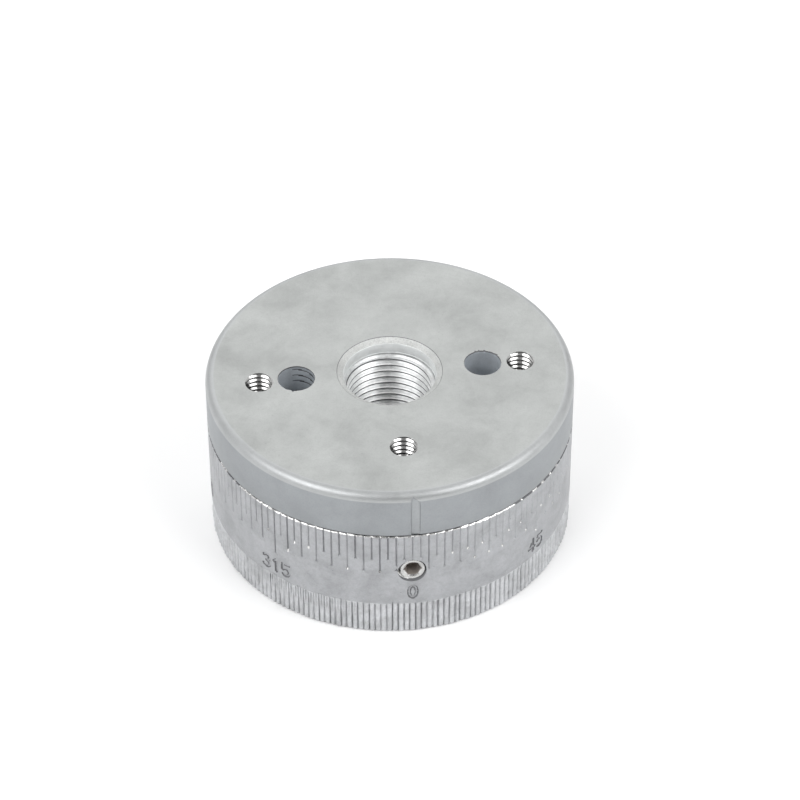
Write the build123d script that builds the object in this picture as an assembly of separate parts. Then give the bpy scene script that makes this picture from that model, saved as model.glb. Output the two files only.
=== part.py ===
"""Small rotary table: a cast table that turns on a graduated, knurled base.

Frame: millimetres, +Z up along the spindle axis, origin at the centre of the base's underside.
The zero mark, the index line and the lock screw face -Y. One STEP file is written for each piece.
"""

from build123d import *
from math import cos, degrees, radians, sin
import os

# Driving dimensions
outer_radius = 24.0
total_height = 24.0
base_height = 17.0
seam_gap = 0.1  # the table rides this far above the base's rim, on the thrust ring
running_gap = 0.03  # radial clearance of a running fit
face_gap = 0.02  # axial clearance between two faces that slide on each other
overshoot = 1.0  # how far a cutter runs past the surface it opens

# Table: disc, skirt that the lock presses on, and hub
table_fillet = 1.1
table_underside = base_height + seam_gap
skirt_outer_radius = 18.5
skirt_inner_radius = 16.0
skirt_bottom = 8.4
hub_radius = 7.5
hub_bottom = 0.4
index_width = 1.2
index_depth = 0.2
index_reading = 0.9  # degrees on the scale that the index line shows at rest

# M12 x 1 spindle thread, a plain bore at its minor radius
spindle_bore_radius = 5.46
spindle_relief_radius = 6.05
spindle_relief_depth = 1.9  # from the top face, chamfer included
spindle_chamfer = 0.7
spindle_mouth_radius = 6.9

# Work-holding taps, M4 x 0.7, plain bores at their minor radius
tap_radius = 1.65
tap_depth = 6.0
side_tap_offset = 17.1
front_tap_offset = 14.6

# M4 hold-down taps in the base's floor, and the plain holes in the table that stand over them
hold_down_offset = 12.2
key_hole_radius = 2.4

# Base: cup with a thick floor
cup_clearance = 0.1
cup_radius = skirt_outer_radius + cup_clearance
floor_top = 8.0
edge_chamfer = 0.25
foot_height = 0.35
foot_inset = 0.02
bush_outer_radius = 8.5
recess_radius = 9.45
recess_depth = 3.2
bush_set_back = 0.1  # below the floor's upper face

# Scale: a short mark every 2.5 degrees, a long one every 5, the longest at the numbers every 45
mark_step = 2.5
mark_width = 0.3
mark_depth = 0.25
short_mark_bottom = 12.85
long_mark_bottom = 10.85
numbered_mark_bottom = 9.2
number_step = 45
number_height = 2.55
number_width = 1.4
number_spacing = 1.66
number_stroke = 0.34
number_depth = 0.22
number_centre_z = 7.25

# Straight knurl
knurl_height = 5.2
knurl_count = 200
knurl_depth = 0.28
knurl_flat_share = 0.3  # share of the pitch left flat on each rib

# Lock: M4 set screw and brass pad in the base's wall, at the threads' pitch radius
lock_z = 11.1
lock_hole_radius = 1.8
lock_screw_radius = 1.75
lock_screw_length = 4.0
lock_screw_socket_flats = 2.0
lock_screw_socket_depth = 2.0
lock_screw_set_in = 0.12  # from the base's outer radius
lock_screw_chamfer = 0.2
lock_groove_depth = 0.3
lock_groove_width = 4.0
lock_pad_radius = 1.6

# Axial stack under the floor
thrust_ring_radii = (18.75, 22.4)
thrust_recess_depth = 0.7
thrust_recess_clearance = 0.1
clip_groove_radius = 7.15
clip_groove_bottom = 0.85
clip_groove_width = 1.05
clip_thickness = 1.0
clip_outer_radius = 9.0
clip_eccentricity = 0.2
clip_lug_radius = 1.1
clip_lug_hole_radius = 0.55
clip_lug_centre = 8.2
clip_lug_angle = 24.0
clip_gap_angle = 20.0
washer_thickness = 0.4
washer_outer_radius = 9.3
spring_thickness = 0.4
spring_outer_radius = 9.25
spring_inner_radius = 7.7


def on_circle(radius, angle, z=0.0):
    """A point at this angle in degrees, counted anticlockwise from +X."""
    return (radius * cos(radians(angle)), radius * sin(radians(angle)), z)


def disc(radius, bottom, top):
    """A solid cylinder about the Z axis."""
    return Pos(0, 0, bottom) * Cylinder(radius, top - bottom, align=(Align.CENTER, Align.CENTER, Align.MIN))


def tube(inner, outer, bottom, top):
    """A ring about the Z axis."""
    return disc(outer, bottom, top) - disc(inner, bottom, top)


def hole(x, y, radius, bottom, top):
    """A cutter parallel to Z."""
    return Pos(x, y, 0) * disc(radius, bottom, top)


def prism(section, bottom, top):
    """A section in the XY plane raised between two heights."""
    return Pos(0, 0, bottom) * extrude(section, top - bottom)


def hexagon(flats, depth):
    """A prism this wide across its flats, from z = 0 upwards."""
    return extrude(RegularPolygon(flats / 2, 6, major_radius=False), depth)


def radial(angle, radius, z):
    """A place on the side wall whose own +Z points outwards, +Y up and +X along the wall."""
    outward = Vector(*on_circle(1, angle))
    along = Vector(*on_circle(1, angle + 90))
    return Location(Plane(origin=on_circle(radius, angle, z), x_dir=along, z_dir=outward))


def rotary_table():
    """Disc, skirt and hub in one casting, with the spindle thread right through."""
    body = disc(outer_radius, table_underside, total_height)
    body = fillet(body.edges().sort_by(Axis.Z)[-1], table_fillet)
    body += tube(skirt_inner_radius, skirt_outer_radius, skirt_bottom, table_underside)
    body += disc(hub_radius, hub_bottom, table_underside)
    body -= disc(spindle_bore_radius, hub_bottom, total_height)
    body -= disc(spindle_relief_radius, total_height - spindle_relief_depth, total_height)
    seated = (Align.CENTER, Align.CENTER, Align.MIN)
    mouth = Cone(spindle_relief_radius, spindle_mouth_radius, spindle_chamfer, align=seated)
    body -= Pos(0, 0, total_height - spindle_chamfer) * mouth
    for side in (-1, 1):
        body -= hole(side * hold_down_offset, 0, key_hole_radius, table_underside, total_height)
        body -= hole(side * side_tap_offset, 0, tap_radius, total_height - tap_depth, total_height)
    body -= hole(0, -front_tap_offset, tap_radius, total_height - tap_depth, total_height)
    body -= tube(
        skirt_outer_radius - lock_groove_depth,
        skirt_outer_radius + overshoot,
        lock_z - lock_groove_width / 2,
        lock_z + lock_groove_width / 2,
    )
    clip_groove_top = clip_groove_bottom + clip_groove_width
    body -= tube(clip_groove_radius, hub_radius + overshoot, clip_groove_bottom, clip_groove_top)
    index_line = Box(index_width, 2 * index_depth, total_height - table_underside)
    middle = (total_height + table_underside) / 2
    body -= Rot(0, 0, index_reading) * Pos(0, -outer_radius, middle) * index_line
    return body


def knurl_outline():
    """Section of the knurl: ribs with narrow flats and V grooves between them, just inside the wall."""
    step = 360 / knurl_count
    crest = outer_radius - foot_inset
    half_flat = step * knurl_flat_share / 2
    outline = []
    for i in range(knurl_count):
        outline += [on_circle(crest, i * step + side * half_flat)[:2] for side in (-1, 1)]
        outline.append(on_circle(outer_radius - knurl_depth, (i + 0.5) * step)[:2])
    return make_face(Polyline(*outline, close=True))


def mark_cutter(angle, bottom):
    """A V groove from this height up through the base's upper edge."""
    half = degrees(mark_width / outer_radius)  # at twice the groove's depth, outside the wall
    root = on_circle(outer_radius - mark_depth, angle)[:2]
    mouth = [on_circle(outer_radius + mark_depth, angle + side * half)[:2] for side in (-1, 1)]
    return prism(make_face(Polyline(root, *mouth, close=True)), bottom, base_height + mark_depth)


def digit_strokes(digit):
    """Centrelines of a plain engraved digit, in a box number_width wide and number_height high."""
    x = (number_width - number_stroke) / 2
    y = (number_height - number_stroke) / 2
    bowl = 0.5 * y  # radius of a half-height bowl, up and down
    if digit == "0":
        return [
            Line((-x, y - x), (-x, x - y)),
            ThreePointArc((-x, x - y), (0, -y), (x, x - y)),
            Line((x, x - y), (x, y - x)),
            ThreePointArc((x, y - x), (0, y), (-x, y - x)),
        ]
    if digit == "1":
        return [Line((0, -y), (0, y)), Line((0, y), (-0.7 * x, 0.6 * y))]
    if digit == "2":
        return [
            ThreePointArc((-x, y - bowl), (0, y), (x, y - bowl)),
            Line((x, y - bowl), (-x, -y)),
            Line((-x, -y), (x, -y)),
        ]
    if digit == "4":
        return [
            Line((0.45 * x, -y), (0.45 * x, y)),
            Line((0.45 * x, y), (-x, -0.4 * y)),
            Line((-x, -0.4 * y), (x, -0.4 * y)),
        ]
    if digit == "5":
        return [
            Line((x, y), (-0.8 * x, y)),
            Line((-0.8 * x, y), (-0.9 * x, 0.1 * y)),
            ThreePointArc((-0.9 * x, 0.1 * y), (x, -0.35 * y), (0, -y)),
            ThreePointArc((0, -y), (-0.7 * x, -0.9 * y), (-x, -0.65 * y)),
        ]
    if digit == "7":
        return [Line((-x, y), (x, y)), Line((x, y), (-0.3 * x, -y))]
    if digit == "8":
        return [CenterArc((0, side * bowl), bowl, start, 180) for side in (-1, 1) for start in (0, 180)]
    if digit == "9":
        return [
            CenterArc((0, bowl), bowl, 0, 180),
            CenterArc((0, bowl), bowl, 180, 180),
            ThreePointArc((bowl, bowl), (0.75 * x, -0.5 * y), (-0.5 * x, -y)),
        ]
    raise ValueError(f"no strokes for {digit}")


def digit_face(digit):
    """Outline of an engraved digit."""
    if digit != "3":
        return Sketch() + [trace(stroke, number_stroke) for stroke in digit_strokes(digit)]
    bowl = (number_height - number_stroke) / 4
    ring = Circle(bowl + number_stroke / 2) - Circle(bowl - number_stroke / 2)
    opening = Pos(-number_width / 2, 0) * Rectangle(0.8 * number_width, 2 * bowl)
    return Pos(0, bowl) * ring + Pos(0, -bowl) * ring - opening


def number_cutters(number, angle):
    """One cutter for each digit of a number centred at this angle, each square to the wall behind it."""
    text = str(number)
    step = degrees(number_spacing / outer_radius)
    cutters = []
    for i, digit in enumerate(text):
        place = angle + (i - (len(text) - 1) / 2) * step
        depth = outer_radius - number_depth
        cutters.append(radial(place, depth, number_centre_z) * extrude(digit_face(digit), 2 * number_depth))
    return cutters


def scale_cutters():
    """Marks and numbers all round; the mark at zero runs into the lock hole."""
    cutters = []
    for i in range(round(360 / mark_step)):
        reading = i * mark_step
        bottom = short_mark_bottom
        if reading % (2 * mark_step) == 0:
            bottom = long_mark_bottom
        if reading % number_step == 0:
            bottom = numbered_mark_bottom
            cutters += number_cutters(round(reading), reading - 90)
        if reading == 0:
            bottom = lock_z
        cutters.append(mark_cutter(reading - 90, bottom))
    return cutters


def graduated_base():
    """Cup with a thick floor, the scale and the knurl outside, and a tapped hole for the lock at zero."""
    wall = disc(outer_radius, knurl_height, base_height)
    wall = chamfer(wall.edges().sort_by(Axis.Z)[-1], edge_chamfer)
    wall -= disc(cup_radius, floor_top, base_height)
    thrust_recess_radius = thrust_ring_radii[1] + thrust_recess_clearance
    wall -= disc(thrust_recess_radius, base_height - thrust_recess_depth, base_height)
    lock_hole = Cylinder(lock_hole_radius, 2 * (outer_radius - skirt_inner_radius))
    wall = wall - scale_cutters() - radial(-90, outer_radius, lock_z) * lock_hole
    foot = disc(outer_radius - knurl_depth - foot_inset, 0, foot_height)
    body = foot + prism(knurl_outline(), foot_height, knurl_height) + wall
    cutters = [disc(bush_outer_radius, 0, floor_top), disc(recess_radius, 0, recess_depth)]
    cutters += [hole(side * hold_down_offset, 0, tap_radius, 0, floor_top) for side in (-1, 1)]
    return body - cutters


def thrust_ring():
    """Plain low-friction ring that carries the table."""
    bottom = base_height - thrust_recess_depth
    return tube(*thrust_ring_radii, bottom, table_underside - face_gap)


def spindle_bush():
    """Bronze bush pressed into the floor."""
    return tube(hub_radius + running_gap, bush_outer_radius, recess_depth, floor_top - bush_set_back)


def clip_top():
    """Height of the retaining ring's upper face."""
    return clip_groove_bottom + (clip_groove_width + clip_thickness) / 2


def retaining_washer():
    """Flat washer on the retaining ring."""
    bottom = clip_top() + face_gap
    return tube(hub_radius + running_gap, washer_outer_radius, bottom, bottom + washer_thickness)


def disc_spring():
    """Conical washer that takes up the axial play, wide end down on the washer."""
    bottom = clip_top() + washer_thickness + 2 * face_gap
    top = recess_depth - face_gap
    section = Polyline(
        (spring_outer_radius, 0, bottom),
        (spring_outer_radius, 0, bottom + spring_thickness),
        (spring_inner_radius, 0, top),
        (spring_inner_radius, 0, top - spring_thickness),
        close=True,
    )
    return revolve(make_face(section), Axis.Z, 360)


def retaining_ring():
    """Open ring for a 15 mm shaft, widest opposite its gap, with two plier lugs."""
    ring = Pos(0, clip_eccentricity, 0) * Circle(clip_outer_radius)
    for side in (-1, 1):
        lug = on_circle(clip_lug_centre, -90 + side * clip_lug_angle)
        ring += Pos(lug[0], lug[1], 0) * Circle(clip_lug_radius)
    ring -= Circle(clip_groove_radius + running_gap)
    reach = 2 * clip_outer_radius
    wedge = [on_circle(reach, -90 + side * clip_gap_angle)[:2] for side in (-1, 1)]
    ring -= make_face(Polyline((0, 0), *wedge, close=True))
    for side in (-1, 1):
        lug = on_circle(clip_lug_centre, -90 + side * clip_lug_angle)
        ring -= Pos(lug[0], lug[1], 0) * Circle(clip_lug_hole_radius)
    return Pos(0, 0, clip_top() - clip_thickness) * extrude(ring, clip_thickness)


def lock_screw():
    """Set screw with a hexagon socket, its face just inside the base's wall."""
    align_out = (Align.CENTER, Align.CENTER, Align.MAX)
    body = Cylinder(lock_screw_radius, lock_screw_length, align=align_out)
    body = chamfer(body.edges().filter_by(GeomType.CIRCLE), lock_screw_chamfer)
    body -= Pos(0, 0, -lock_screw_socket_depth) * hexagon(lock_screw_socket_flats, lock_screw_socket_depth)
    return radial(-90, outer_radius - lock_screw_set_in, lock_z) * body


def lock_pad():
    """Brass pad between the screw's end and the groove in the skirt."""
    inner = skirt_outer_radius - lock_groove_depth + face_gap
    outer = outer_radius - lock_screw_set_in - lock_screw_length - face_gap
    body = Cylinder(lock_pad_radius, outer - inner, align=(Align.CENTER, Align.CENTER, Align.MIN))
    return radial(-90, inner, lock_z) * body


pieces = {
    "rotary_table": rotary_table(),
    "graduated_base": graduated_base(),
    "thrust_ring": thrust_ring(),
    "spindle_bush": spindle_bush(),
    "disc_spring": disc_spring(),
    "retaining_washer": retaining_washer(),
    "retaining_ring": retaining_ring(),
    "lock_screw": lock_screw(),
    "lock_pad": lock_pad(),
}
os.makedirs("parts", exist_ok=True)
for name, shape in pieces.items():
    export_step(shape, f"parts/{name}.step")
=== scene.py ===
"""Looks of the rotary table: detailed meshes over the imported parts, with materials, light and camera."""

import math
from collections import namedtuple

import bpy
import numpy as np
from mathutils import Matrix, Vector
from mathutils.geometry import delaunay_2d_cdt


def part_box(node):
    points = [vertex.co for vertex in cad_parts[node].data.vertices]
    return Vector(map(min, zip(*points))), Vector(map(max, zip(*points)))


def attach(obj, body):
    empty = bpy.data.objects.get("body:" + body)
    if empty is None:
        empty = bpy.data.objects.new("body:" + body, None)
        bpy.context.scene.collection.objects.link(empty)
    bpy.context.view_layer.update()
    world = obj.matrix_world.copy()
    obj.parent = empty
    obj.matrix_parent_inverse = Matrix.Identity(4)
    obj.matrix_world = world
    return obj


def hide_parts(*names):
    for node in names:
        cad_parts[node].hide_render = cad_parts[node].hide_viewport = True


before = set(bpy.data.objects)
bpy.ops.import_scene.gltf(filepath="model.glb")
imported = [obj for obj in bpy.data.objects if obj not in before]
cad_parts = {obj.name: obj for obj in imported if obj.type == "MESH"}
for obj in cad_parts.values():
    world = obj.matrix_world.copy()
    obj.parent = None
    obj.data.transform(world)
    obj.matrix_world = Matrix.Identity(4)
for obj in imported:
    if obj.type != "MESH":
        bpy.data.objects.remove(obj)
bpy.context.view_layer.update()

MM = 0.001
table_box = [np.array(corner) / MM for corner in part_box("rotary_table")]
base_box = [np.array(corner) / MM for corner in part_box("graduated_base")]
screw_box = [np.array(corner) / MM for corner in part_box("lock_screw")]

# Sizes in millimetres and angles in degrees, here and in every mesh function
RADIUS = float(base_box[1][0])  # outer radius of base and table
HEIGHT = float(table_box[1][2])
BASE_TOP = float(base_box[1][2])
UNDERSIDE = BASE_TOP + 0.1  # the table's lower face
HUB_BOTTOM = float(table_box[0][2])
HUB_RADIUS = 7.5
SKIRT_IN, SKIRT_OUT, SKIRT_BOTTOM = 16.0, 18.5, 8.4  # under the table, inside the base
CUP_RADIUS, FLOOR = 18.6, 8.0  # the base's inner wall and the top of its floor
LOCK_Z = float(screw_box[0][2] + screw_box[1][2]) / 2
WORK_TAPS = ((-17.1, 0.0), (17.1, 0.0), (0.0, -14.6))
HOLE_X, HOLE_RADIUS = 12.2, 2.4  # the plain holes; the base's two taps lie under them
FRONT = -90.0  # azimuth of the zero mark, from +X
INDEX_READING = 0.9  # past the zero mark, at rest
WELD = 2e-4  # step to which points are rounded before equal ones are joined
random = np.random.default_rng(48)


# ---------------------------------------------------------------- camera

def set_camera():
    """A long lens from the front left, 42 degrees above the floor."""
    azimuth, elevation = math.radians(-6.6), math.radians(42.09)
    pan, tilt, roll = -0.0031, 0.012, 0.0075
    distance = 17.968 * RADIUS * MM
    centre = Vector((0, 0, 0.5 * RADIUS * MM))
    level = math.cos(elevation)
    back = Vector((math.sin(azimuth) * level, -math.cos(azimuth) * level, math.sin(elevation)))
    forward = -back
    right = Vector((math.cos(azimuth), math.sin(azimuth), 0))
    up = right.cross(forward)
    turn = Matrix.Rotation(pan, 3, up) @ Matrix.Rotation(tilt, 3, right)
    forward, right, up = turn @ forward, turn @ right, turn @ up
    turn = Matrix.Rotation(roll, 3, forward)
    right, up = turn @ right, turn @ up
    data = bpy.data.cameras.new("camera")
    data.lens = 146.5
    data.sensor_width = 36
    data.clip_start = 0.01
    camera = bpy.data.objects.new("camera", data)
    bpy.context.scene.collection.objects.link(camera)
    basis = Matrix((right, up, -forward)).transposed().to_4x4()
    camera.matrix_world = Matrix.Translation(centre + distance * back) @ basis
    bpy.context.scene.camera = camera


set_camera()


# ---------------------------------------------------------------- materials

def nodes_of(name):
    """A new material with its node tree and Principled shader."""
    material = bpy.data.materials.new(name)
    material.use_nodes = True
    tree = material.node_tree
    return material, tree, tree.nodes["Principled BSDF"]


def fill(tree, socket, value):
    """Links a socket to another node's output, or sets its value."""
    if isinstance(value, bpy.types.NodeSocket):
        tree.links.new(value, socket)
    else:
        socket.default_value = value


def put(tree, kind, **inputs):
    """Adds a node and fills its inputs, by name or by index written as _0, _1."""
    node = tree.nodes.new(kind)
    for key, value in inputs.items():
        fill(tree, node.inputs[int(key[1:])] if key[0] == "_" else node.inputs[key], value)
    return node


def finish_shader(tree, shader, colour, roughness, metallic, bump):
    """Joins a material's parts to its shader."""
    fill(tree, shader.inputs["Base Color"], colour)
    fill(tree, shader.inputs["Roughness"], roughness)
    fill(tree, shader.inputs["Metallic"], metallic)
    fill(tree, shader.inputs["Normal"], bump.outputs[0])


def object_place(tree):
    """The place in the object, in metres."""
    return put(tree, "ShaderNodeTexCoord").outputs["Object"]


def ramp(tree, fac, stops):
    """A colour ramp through (position, (r, g, b)) stops, or grey numbers."""
    node = put(tree, "ShaderNodeValToRGB", Fac=fac)
    while len(node.color_ramp.elements) < len(stops):
        node.color_ramp.elements.new(0.5)
    for element, (position, colour) in zip(node.color_ramp.elements, stops):
        element.position = position
        element.color = (*colour, 1) if isinstance(colour, tuple) else (colour, colour, colour, 1)
    return node.outputs["Color"]


def spread(tree, value, low, high, at_low=0.3, at_high=0.7):
    """Maps a value from one range to another, held at the ends."""
    return put(tree, "ShaderNodeMapRange", Value=value, _1=at_low, _2=at_high, _3=low, _4=high).outputs[0]


def noise(tree, where, per_metre, detail=4.0, roughness=0.55, distortion=0.0):
    """Noise with this many cells per metre."""
    node = put(tree, "ShaderNodeTexNoise", Vector=where, Scale=per_metre, Detail=detail,
               Roughness=roughness, Distortion=distortion)
    return node.outputs["Fac"]


def mix(tree, mode, fac, a, b):
    """Blends two colours."""
    node = tree.nodes.new("ShaderNodeMix")
    node.data_type = "RGBA"
    node.blend_type = mode
    for socket, value in ((node.inputs[0], fac), (node.inputs[6], a), (node.inputs[7], b)):
        fill(tree, socket, (*value, 1) if isinstance(value, tuple) else value)
    return node.outputs[2]


def maths(tree, operation, a, b):
    """One arithmetic step."""
    node = put(tree, "ShaderNodeMath", _0=a, _1=b)
    node.operation = operation
    return node.outputs[0]


def height_and_side(tree, where):
    """The place's height and its X, in metres."""
    split = put(tree, "ShaderNodeSeparateXYZ", Vector=where)
    return split.outputs["Z"], split.outputs["X"]


def shade(tone, factor):
    """A colour made darker or lighter."""
    return tuple(min(1.0, c * factor) for c in tone)


def groove_dirt(tree, where, low, deep, above, right):
    """How much painted shade darkens a groove of the base's wall: 0 at depth low, 1 at depth deep, and only
    above a height.

    It drops to the share named by right on the side of +X. Openings deeper than 0.65 mm get none.
    """
    flat = put(tree, "ShaderNodeVectorMath", _0=where, _1=(1, 1, 0))
    flat.operation = "MULTIPLY"
    radius = put(tree, "ShaderNodeVectorMath", _0=flat.outputs[0])
    radius.operation = "LENGTH"
    depth = maths(tree, "SUBTRACT", RADIUS * MM, radius.outputs["Value"])
    depth_mm = maths(tree, "MULTIPLY", depth, 1 / MM)
    groove = ramp(tree, depth_mm, [(low, 0.0), (deep, 1.0), (0.55, 1.0), (0.65, 0.0)])
    height, side = height_and_side(tree, where)
    groove = maths(tree, "MULTIPLY", groove, maths(tree, "GREATER_THAN", height, above * MM))
    groove_shade = maths(tree, "MULTIPLY", groove, spread(tree, side, 1.0, right, at_low=-0.015, at_high=0.006))
    return maths(tree, "MULTIPLY", groove_shade, ramp(tree, noise(tree, where, 1400, 3), [(0.36, 0.35), (0.58, 1.0)]))


def pitting(tree, where, amount):
    """Small scattered pits, only in some areas."""
    per_metre, radius, threshold = 900.0, 0.085, 0.56
    spots = put(tree, "ShaderNodeTexVoronoi", Vector=where, Scale=per_metre)
    area = maths(tree, "GREATER_THAN", noise(tree, where, 260, 2), threshold)
    pit = maths(tree, "MULTIPLY", maths(tree, "LESS_THAN", spots.outputs["Distance"], radius), area)
    return maths(tree, "MULTIPLY", pit, amount)


def cast_metal(name, tone, rough, grain=0.25, pits=0.5, cloud=1.0, turned=0.0, relief=0.06, groove_shade=None,
               metallic=0.85, cells=130):
    """Blasted or die-cast light alloy: clouds, fine grain and pits, perhaps turning marks or painted shade in
    its grooves.
    """
    material, tree, shader = nodes_of(name)
    where = object_place(tree)
    clouds = noise(tree, where, cells, 5, 0.6, 0.4)
    patches = noise(tree, where, 5 * cells, 4, 0.6)
    fine = noise(tree, where, 5200, 3, 0.7)
    low, high = shade(tone, 1 - 0.10 * cloud), shade(tone, 1 + 0.07 * cloud)
    colour = ramp(tree, clouds, [(0.30, low), (0.50, tone), (0.70, high)])
    patch_shade = ramp(tree, patches, [(0.34, 1 - 0.11 * cloud), (0.6, 1.0)])
    colour = mix(tree, "MULTIPLY", 0.7, colour, patch_shade)
    grain_shade = ramp(tree, fine, [(0.28, 0.90 - 0.12 * grain), (0.55, 1.0)])
    colour = mix(tree, "MULTIPLY", 0.6, colour, grain_shade)
    pit = pitting(tree, where, pits)
    colour = mix(tree, "MIX", maths(tree, "MULTIPLY", pit, 0.55), colour, shade(tone, 0.45))
    # painted shade in the grooves
    if groove_shade:
        colour = mix(tree, "MIX", groove_dirt(tree, where, **groove_shade), colour, shade(tone, 0.60))
    height = maths(tree, "MULTIPLY", fine, grain)
    height = maths(tree, "ADD", height, maths(tree, "MULTIPLY", patches, 0.5 * cloud))
    height = maths(tree, "SUBTRACT", height, pit)
    if turned:
        rings = put(tree, "ShaderNodeTexWave", Vector=where, Scale=420.0, Distortion=1.2, Detail=2.0)
        rings.wave_type = "RINGS"
        rings.rings_direction = "Z"
        where_worn = ramp(tree, clouds, [(0.52, 0.0), (0.64, 1.0)])
        marks = maths(tree, "MULTIPLY", rings.outputs["Fac"], where_worn)
        height = maths(tree, "ADD", height, maths(tree, "MULTIPLY", marks, turned))
    bump = put(tree, "ShaderNodeBump", Strength=0.35, Distance=relief * MM, Height=height)
    finish_shader(tree, shader, colour, spread(tree, patches, rough - 0.06, rough + 0.08), metallic, bump)
    return material


def cut_metal(name, tone, rough, per_metre=3000, stretch=(1, 1, 6), wear=0.12, metallic=1.0):
    """Freshly cut bright metal with fine tool lines."""
    material, tree, shader = nodes_of(name)
    where = object_place(tree)
    lines = put(tree, "ShaderNodeMapping", Vector=where, Scale=stretch).outputs[0]
    fine = noise(tree, lines, per_metre, 4, 0.6)
    patches = noise(tree, where, 700, 3)
    colour = ramp(tree, patches, [(0.32, shade(tone, 1 - 2.2 * wear)), (0.55, tone)])
    colour = mix(tree, "MULTIPLY", 0.6, colour, ramp(tree, fine, [(0.3, 1 - 2 * wear), (0.6, 1.0)]))
    bump = put(tree, "ShaderNodeBump", Strength=0.3, Distance=0.00002, Height=fine)
    roughness = spread(tree, fine, max(0.04, rough - 0.07), rough + 0.08)
    finish_shader(tree, shader, colour, roughness, metallic, bump)
    return material


def polymer(name, tone):
    """Plain bearing plastic with a slight mottle."""
    material, tree, shader = nodes_of(name)
    where = object_place(tree)
    patches = noise(tree, where, 900, 4)
    colour = ramp(tree, patches, [(0.35, shade(tone, 0.93)), (0.65, tone)])
    bump = put(tree, "ShaderNodeBump", Strength=0.2, Distance=0.00002, Height=noise(tree, where, 6000, 2))
    finish_shader(tree, shader, colour, spread(tree, patches, 0.42, 0.55), 0.0, bump)
    return material


# The table's materials, and the numbers of their slots
TABLE_METALS = [
    cast_metal("cast_table", (0.430, 0.442, 0.435), 0.46, grain=0.3, cloud=1.5, turned=0.22, relief=0.12),
    # a darker copy of the table's metal for its sides, skirt and hub: painted shade
    cast_metal("cast_table_side_painted_shade", (0.338, 0.354, 0.368), 0.46, grain=0.12, pits=0.25, relief=0.03),
    cut_metal("cut_thread", (0.82, 0.83, 0.83), 0.36, metallic=0.65),
    cast_metal("drilled_wall", (0.70, 0.735, 0.77), 0.50, grain=0.4, pits=0.3, cloud=1.2, metallic=0.7),
    cut_metal("cut_tap", (0.62, 0.62, 0.615), 0.16),
    cut_metal("cut_relief", (0.84, 0.86, 0.86), 0.40, per_metre=1200, stretch=(1, 1, 3), wear=0.05,
              metallic=0.35),
    # a dark material that paints shade into seams, edges, thread crests, drill marks and hole mouths
    cast_metal("painted_shade", (0.17, 0.173, 0.180), 0.55, grain=0.5, pits=0.3),
    cast_metal("turned_rim", (0.445, 0.457, 0.461), 0.45, grain=0.12, pits=0.0, cloud=0.7, relief=0.02),
    cast_metal("index_line", (0.385, 0.400, 0.412), 0.50, grain=0.3, pits=0.3, cloud=1.2),
    cast_metal("turned_bevel", (0.62, 0.63, 0.62), 0.45, grain=2.5, pits=1.0, cloud=1.6, relief=0.22,
               metallic=0.5),
]
TOP, SIDE, THREAD, DRILLED, TAPPED, RELIEVED, PAINTED_SHADE, RIM, INDEX, BEVEL = range(len(TABLE_METALS))

# The base's materials, and the numbers of their slots
BASE_METALS = [
    # the body's marks and the knurl's gaps get painted shade, heavier on the left and fading to the right
    cast_metal("cast_base", (0.438, 0.446, 0.461), 0.44, grain=0.8, pits=1.0, cloud=1.6, relief=0.15,
               cells=300, groove_shade={"low": 0.03, "deep": 0.14, "above": 9.0, "right": 0.0}),
    cut_metal("cut_edge", (0.84, 0.84, 0.83), 0.26, per_metre=2600, stretch=(1, 1, 1), wear=0.26),
    cast_metal("cast_knurl", (0.62, 0.63, 0.645), 0.42, grain=0.9, pits=1.0, cloud=2.2, relief=0.26,
               cells=300, groove_shade={"low": 0.04, "deep": 0.40, "above": 0.0, "right": 0.75}, metallic=0.65),
    # the same dark material, painting shade on the base
    TABLE_METALS[PAINTED_SHADE],
]
BODY, BRIGHT, RIBBED, BASE_PAINTED_SHADE = range(len(BASE_METALS))

SCREW_METALS = [
    cut_metal("stainless", (0.61, 0.61, 0.60), 0.26, per_metre=4200, stretch=(1, 1, 1), wear=0.10),
    cut_metal("socket_oxide", (0.46, 0.42, 0.39), 0.45, per_metre=2600, stretch=(1, 1, 1), wear=0.15,
              metallic=0.5),
]
STEEL, SOCKET = range(len(SCREW_METALS))


# ---------------------------------------------------------------- mesh building

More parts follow.
